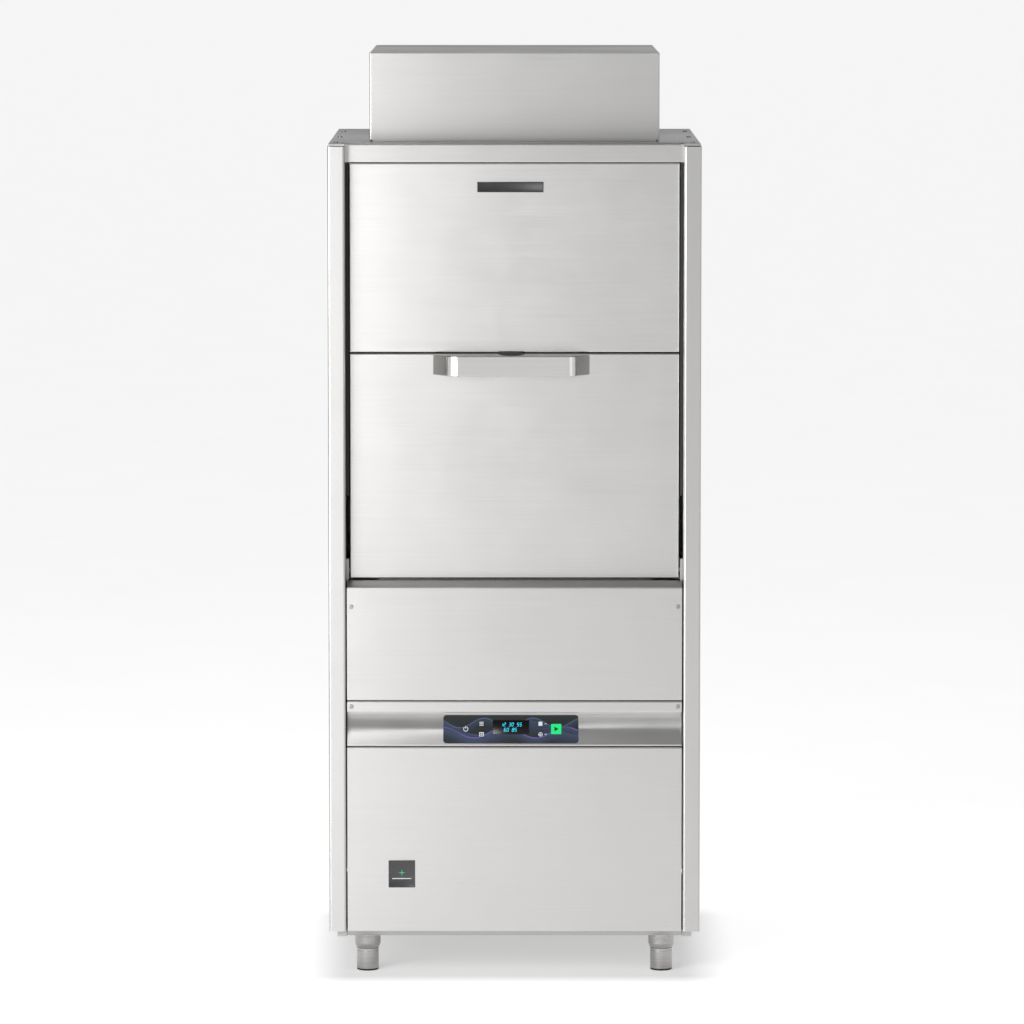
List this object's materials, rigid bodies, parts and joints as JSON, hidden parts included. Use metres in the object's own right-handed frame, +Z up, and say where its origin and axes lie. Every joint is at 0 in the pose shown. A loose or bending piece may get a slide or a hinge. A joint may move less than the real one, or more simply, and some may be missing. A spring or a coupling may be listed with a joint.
{
  "type": "commercial dishwasher",
  "caption": "Tall front-loading utensil washer in stainless steel, with a split door that folds down and slides up, a control band, adjustable feet and a heat-recovery box on top.",
  "frame": {"origin": "on the floor, under the centre of the machine's 720 by 800 mm plan", "axes": "+Z up, -Y out of the front (doors and controls), +X to the right as seen by someone facing the front"},
  "size_m": [0.72, 0.8, 1.7955],
  "materials": {
    "brushed_stainless": "fine brushed stainless steel sheet",
    "dull_stainless": "mill finish stainless steel sheet and wire",
    "polished_stainless": "electropolished stainless steel",
    "zinc_screws": "turned stainless steel",
    "black_plastic": "moulded black plastic",
    "control_film": "printed satin front film",
    "green_key": "back-lit green key",
    "circuit_board": "solder-masked board",
    "black_rubber": "extruded sealing rubber",
    "motor_grey": "grey enamel on cast aluminium",
    "brass": "turned brass",
    "aluminium_fins": "bare aluminium fins"
  },
  "bodies": {
    "root": {"arm_hubs": "polished_stainless", "back_panel": "dull_stainless", "base_frame": "dull_stainless", "boiler": "dull_stainless", "cable_gland": "black_plastic", "chamber_ceiling": "dull_stainless", "chamber_rear_wall": "dull_stainless", "chamber_side_walls": "dull_stainless", "condenser_coil": "aluminium_fins", "condenser_hood": "brushed_stainless", "control_board": "circuit_board", "control_fascia": "brushed_stainless", "control_panel": "control_film", "counter_springs": "zinc_screws", "door_gaskets": "black_rubber", "door_guides": "black_plastic", "drain_pump": "motor_grey", "fan_frame": "black_plastic", "foot_sleeves": "zinc_screws", "header_beam": "brushed_stainless", "hinge_brackets": "dull_stainless", "inlet_valve": "brass", "lower_front_panel": "brushed_stainless", "middle_front_panel": "brushed_stainless", "panel_screws": "zinc_screws", "pump_pipes": "black_plastic", "rack_rails": "dull_stainless", "roof_panel": "brushed_stainless", "side_panel_left": "brushed_stainless", "side_panel_right": "brushed_stainless", "tank_heater": "polished_stainless", "tank_screen": "dull_stainless", "utensil_rack": "dull_stainless", "wash_pump_housing": "black_plastic", "wash_pump_motor": "motor_grey", "wash_tank": "dull_stainless"},
    "lower_door": {"lower_door_skin": "brushed_stainless", "lower_door_liner": "dull_stainless", "door_handle": "brushed_stainless", "door_catch": "black_plastic", "hinge_shaft": "dull_stainless"},
    "upper_door": {"upper_door_skin": "brushed_stainless", "upper_door_liner": "dull_stainless", "door_carriages": "dull_stainless"},
    "lower_wash_arm": {"lower_wash_arm": "polished_stainless"},
    "lower_rinse_arm": {"lower_rinse_arm": "polished_stainless"},
    "upper_wash_arm": {"upper_wash_arm": "polished_stainless"},
    "upper_rinse_arm": {"upper_rinse_arm": "polished_stainless"},
    "wash_pump_impeller": {"wash_pump_impeller": "black_plastic"},
    "condenser_fan": {"condenser_fan": "black_plastic"},
    "foot_front_left": {"foot_front_left": "zinc_screws"},
    "foot_front_right": {"foot_front_right": "zinc_screws"},
    "foot_rear_left": {"foot_rear_left": "zinc_screws"},
    "foot_rear_right": {"foot_rear_right": "zinc_screws"},
    "power_key": {"power_key": "control_film"},
    "program_key": {"program_key": "control_film"},
    "basin_key": {"basin_key": "control_film"},
    "plate_key": {"plate_key": "control_film"},
    "language_key": {"language_key": "control_film"},
    "start_key": {"start_key": "green_key"}
  },
  "joints": [
    {"name": "lower_door_fold", "type": "hinge", "parent": "root", "child": "lower_door", "pos_m": [0, -0.322, 0.7945], "axis": [1, 0, 0], "range_deg": [0, 90], "deforming": ["counter_springs"]},
    {"name": "upper_door_lift", "type": "slide", "parent": "root", "child": "upper_door", "axis": [0, 0, 1], "range_m": [0, 0.32961]},
    {"name": "lower_wash_arm_spin", "type": "hinge", "parent": "root", "child": "lower_wash_arm", "pos_m": [0, 0.0165, 0.8], "axis": [0, 0, 1], "continuous": true},
    {"name": "lower_rinse_arm_spin", "type": "hinge", "parent": "root", "child": "lower_rinse_arm", "pos_m": [0, 0.0165, 0.8], "axis": [0, 0, 1], "continuous": true},
    {"name": "upper_wash_arm_spin", "type": "hinge", "parent": "root", "child": "upper_wash_arm", "pos_m": [0, 0.0165, 1.551], "axis": [0, 0, 1], "continuous": true},
    {"name": "upper_rinse_arm_spin", "type": "hinge", "parent": "root", "child": "upper_rinse_arm", "pos_m": [0, 0.0165, 1.551], "axis": [0, 0, 1], "continuous": true},
    {"name": "wash_pump_spin", "type": "hinge", "parent": "root", "child": "wash_pump_impeller", "pos_m": [0, -0.0595, 0.25], "axis": [0, 1, 0], "continuous": true},
    {"name": "condenser_fan_spin", "type": "hinge", "parent": "root", "child": "condenser_fan", "pos_m": [0, 0.21, 1.7095], "axis": [0, 1, 0], "continuous": true},
    {"name": "power_key_press", "type": "slide", "parent": "root", "child": "power_key", "axis": [0, 0.9381, -0.3464], "range_m": [0, 0.0006], "stiffness_N_per_m": 1500, "springref_m": -0.0006},
    {"name": "program_key_press", "type": "slide", "parent": "root", "child": "program_key", "axis": [0, 0.9381, -0.3464], "range_m": [0, 0.0006], "stiffness_N_per_m": 1500, "springref_m": -0.0006},
    {"name": "basin_key_press", "type": "slide", "parent": "root", "child": "basin_key", "axis": [0, 0.9381, -0.3464], "range_m": [0, 0.0006], "stiffness_N_per_m": 1500, "springref_m": -0.0006},
    {"name": "plate_key_press", "type": "slide", "parent": "root", "child": "plate_key", "axis": [0, 0.9381, -0.3464], "range_m": [0, 0.0006], "stiffness_N_per_m": 1500, "springref_m": -0.0006},
    {"name": "language_key_press", "type": "slide", "parent": "root", "child": "language_key", "axis": [0, 0.9381, -0.3464], "range_m": [0, 0.0006], "stiffness_N_per_m": 1500, "springref_m": -0.0006},
    {"name": "start_key_press", "type": "slide", "parent": "root", "child": "start_key", "axis": [0, 0.9381, -0.3464], "range_m": [0, 0.0006], "stiffness_N_per_m": 1500, "springref_m": -0.0006},
    {"name": "foot_front_left_turn", "type": "hinge", "parent": "root", "child": "foot_front_left", "pos_m": [-0.288, -0.284, 0], "axis": [0, 0, 1], "range_deg": [-360, 360]},
    {"name": "foot_front_right_turn", "type": "hinge", "parent": "root", "child": "foot_front_right", "pos_m": [0.288, -0.284, 0], "axis": [0, 0, 1], "range_deg": [-360, 360]},
    {"name": "foot_rear_left_turn", "type": "hinge", "parent": "root", "child": "foot_rear_left", "pos_m": [-0.288, 0.32, 0], "axis": [0, 0, 1], "range_deg": [-360, 360]},
    {"name": "foot_rear_right_turn", "type": "hinge", "parent": "root", "child": "foot_rear_right", "pos_m": [0.288, 0.32, 0], "axis": [0, 0, 1], "range_deg": [-360, 360]}
  ],
  "couplings": [
    {"joint": "upper_door_lift", "follows": "lower_door_fold", "m_per_rad": 0.20977}
  ]
}
